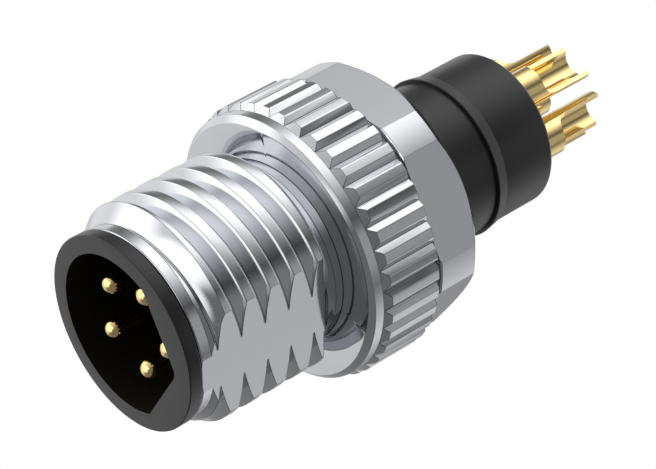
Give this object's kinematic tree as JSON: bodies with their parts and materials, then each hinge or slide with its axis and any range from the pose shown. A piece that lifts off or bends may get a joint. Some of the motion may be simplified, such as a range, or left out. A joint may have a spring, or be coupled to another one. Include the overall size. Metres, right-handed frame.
{
  "type": "circular sensor connector insert",
  "caption": "Round male M8 sensor connector insert: pins in a keyed cavity, a loose threaded coupling screw with knurl and hexagon, and solder cups on a slim stem.",
  "frame": {"origin": "centre of the mating face, on the connector's axis", "axes": "+Z along the axis from the mating face to the solder cups, +X through the coding key and the first contact"},
  "size_m": [0.01, 0.01, 0.0204],
  "materials": {
    "nickel": "bright nickel plate on turned brass",
    "black_plastic": "moulded, soft satin sheen",
    "gold": "gold plate on turned brass"
  },
  "bodies": {
    "insert": {"contact_carrier": "black_plastic", "contact_1": "gold", "contact_2": "gold", "contact_3": "gold", "contact_4": "gold", "contact_5": "gold"},
    "screw": {"coupling_screw": "nickel"}
  },
  "joints": [
    {"name": "coupling_screw_spin", "type": "hinge", "parent": "insert", "child": "screw", "pos_m": [0, 0, 0.006], "axis": [0, 0, 1], "continuous": true}
  ]
}
